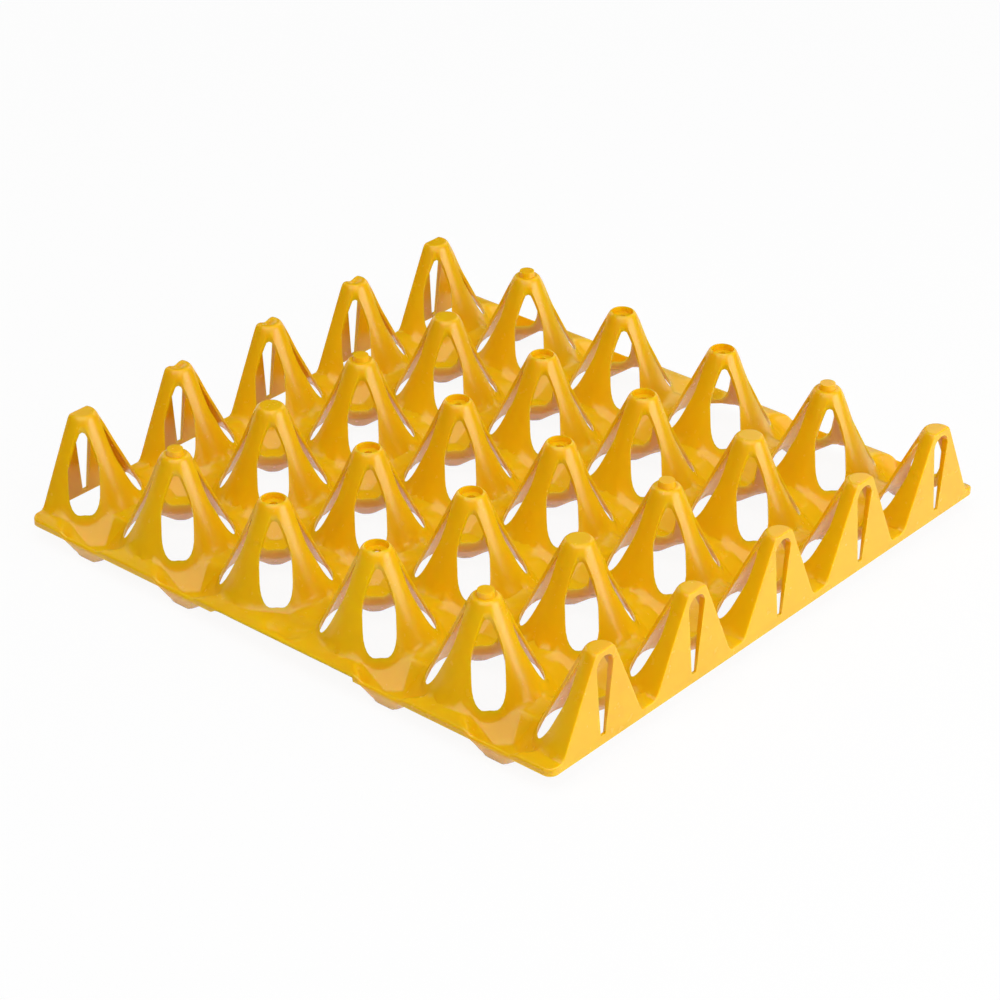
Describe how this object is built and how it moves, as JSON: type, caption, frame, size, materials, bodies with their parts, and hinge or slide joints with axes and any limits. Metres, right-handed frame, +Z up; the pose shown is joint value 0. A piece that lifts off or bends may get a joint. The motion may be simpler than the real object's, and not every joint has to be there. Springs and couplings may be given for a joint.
{
  "type": "plastic egg tray",
  "caption": "Square moulded plastic egg tray: hollow windowed posts on a grid with seats between them, flat slotted end walls and skirted rims.",
  "frame": {"origin": "middle of the plane on which the seats rest", "axes": "+Z up through the posts, +X across the six columns of posts to one flat end wall, +Y along the rows to one long rim"},
  "size_m": [0.295, 0.295, 0.0535],
  "materials": {
    "yellow_plastic": "semi-gloss, slightly translucent orange-yellow polypropylene as it left the mould"
  },
  "bodies": {
    "root": {"egg_tray": "yellow_plastic"}
  },
  "joints": []
}
